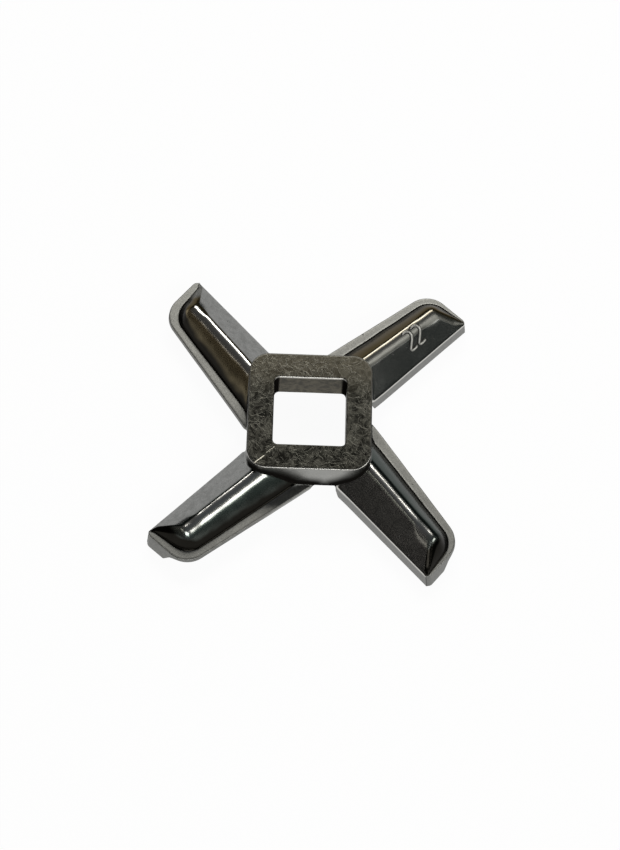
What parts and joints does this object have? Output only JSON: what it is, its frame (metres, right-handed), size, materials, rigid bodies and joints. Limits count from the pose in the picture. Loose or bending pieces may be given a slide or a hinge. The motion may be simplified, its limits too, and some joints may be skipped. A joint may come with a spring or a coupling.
{
  "type": "meat grinder knife",
  "caption": "Steel mincer knife: sloped cutting arms with ridged backs on a square hub with a square drive hole.",
  "frame": {"origin": "centre of the square drive hole, on the plane of the cutting faces that the knife lies on", "axes": "+Z along the drive hole's axis, from the cutting faces to the worm side of the hub; X and Y parallel to the hub's sides"},
  "size_m": [0.0612, 0.0612, 0.0119],
  "materials": {
    "steel": "satin cast and ground steel"
  },
  "bodies": {
    "root": {"knife": "steel"}
  },
  "joints": []
}
